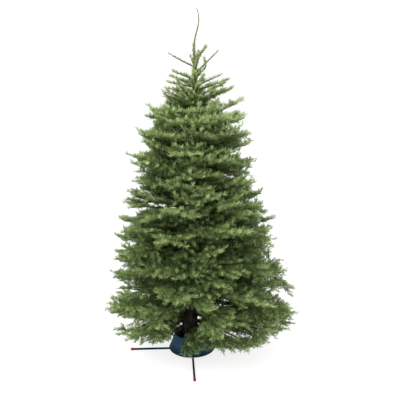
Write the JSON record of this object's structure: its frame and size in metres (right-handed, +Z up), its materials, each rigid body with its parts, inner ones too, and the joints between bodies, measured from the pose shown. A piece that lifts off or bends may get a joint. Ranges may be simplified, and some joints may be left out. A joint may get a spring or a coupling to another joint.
{
  "type": "cut christmas tree in a stand",
  "caption": "Cut fir tree with layered needle boughs and a bare leader, clamped upright in an open steel water bucket on four rod legs.",
  "frame": {"origin": "on the floor, at the centre of the flat underside of the stand's hub", "axes": "+Z up along the trunk, -Y to the front, +X to the tree's wider side"},
  "size_m": [1.3, 1.3347, 2.13],
  "materials": {
    "needles": "satin needles, yellow-green at the shoot tips",
    "bark": "rough fissured bark",
    "stand_paint": "glossy enamel",
    "cap_vinyl": "soft vinyl",
    "screw_zinc": "zinc plated"
  },
  "bodies": {
    "root": {"bough_1_a": "bark", "bough_1_b": "bark", "bough_1_c": "bark", "bough_1_d": "bark", "bough_2_a": "bark", "bough_2_b": "bark", "bough_2_c": "bark", "bough_2_d": "bark", "clamp_screw_1": "screw_zinc", "clamp_screw_2": "screw_zinc", "clamp_screw_3": "screw_zinc", "clamp_screw_4": "screw_zinc", "foliage_1_a": "needles", "foliage_1_b": "needles", "foliage_1_c": "needles", "foliage_1_d": "needles", "foliage_2_a": "needles", "foliage_2_b": "needles", "foliage_2_c": "needles", "foliage_2_d": "needles", "foliage_3_a": "needles", "foliage_3_b": "needles", "foliage_3_c": "needles", "foliage_3_d": "needles", "foliage_4_a": "needles", "foliage_4_b": "needles", "foliage_4_c": "needles", "foliage_4_d": "needles", "foliage_5_a": "needles", "foliage_5_b": "needles", "foliage_5_c": "needles", "foliage_5_d": "needles", "foliage_6_a": "needles", "foliage_6_b": "needles", "foliage_6_c": "needles", "foliage_7_a": "needles", "foliage_7_b": "needles", "foliage_7_c": "needles", "foliage_8_a": "needles", "foliage_8_b": "needles", "foliage_8_c": "needles", "foliage_9_a": "needles", "foliage_9_b": "needles", "foliage_9_c": "needles", "leg_cap_1": "cap_vinyl", "leg_cap_2": "cap_vinyl", "leg_cap_3": "cap_vinyl", "leg_cap_4": "cap_vinyl", "stand_bucket": "stand_paint", "stand_hub": "stand_paint", "stand_leg_1": "stand_paint", "stand_leg_2": "stand_paint", "stand_leg_3": "stand_paint", "stand_leg_4": "stand_paint", "top_shoot_1": "needles", "top_shoot_2": "needles", "top_shoot_3": "needles", "top_shoot_4": "needles", "top_shoot_5": "needles", "trunk": "bark"}
  },
  "joints": []
}
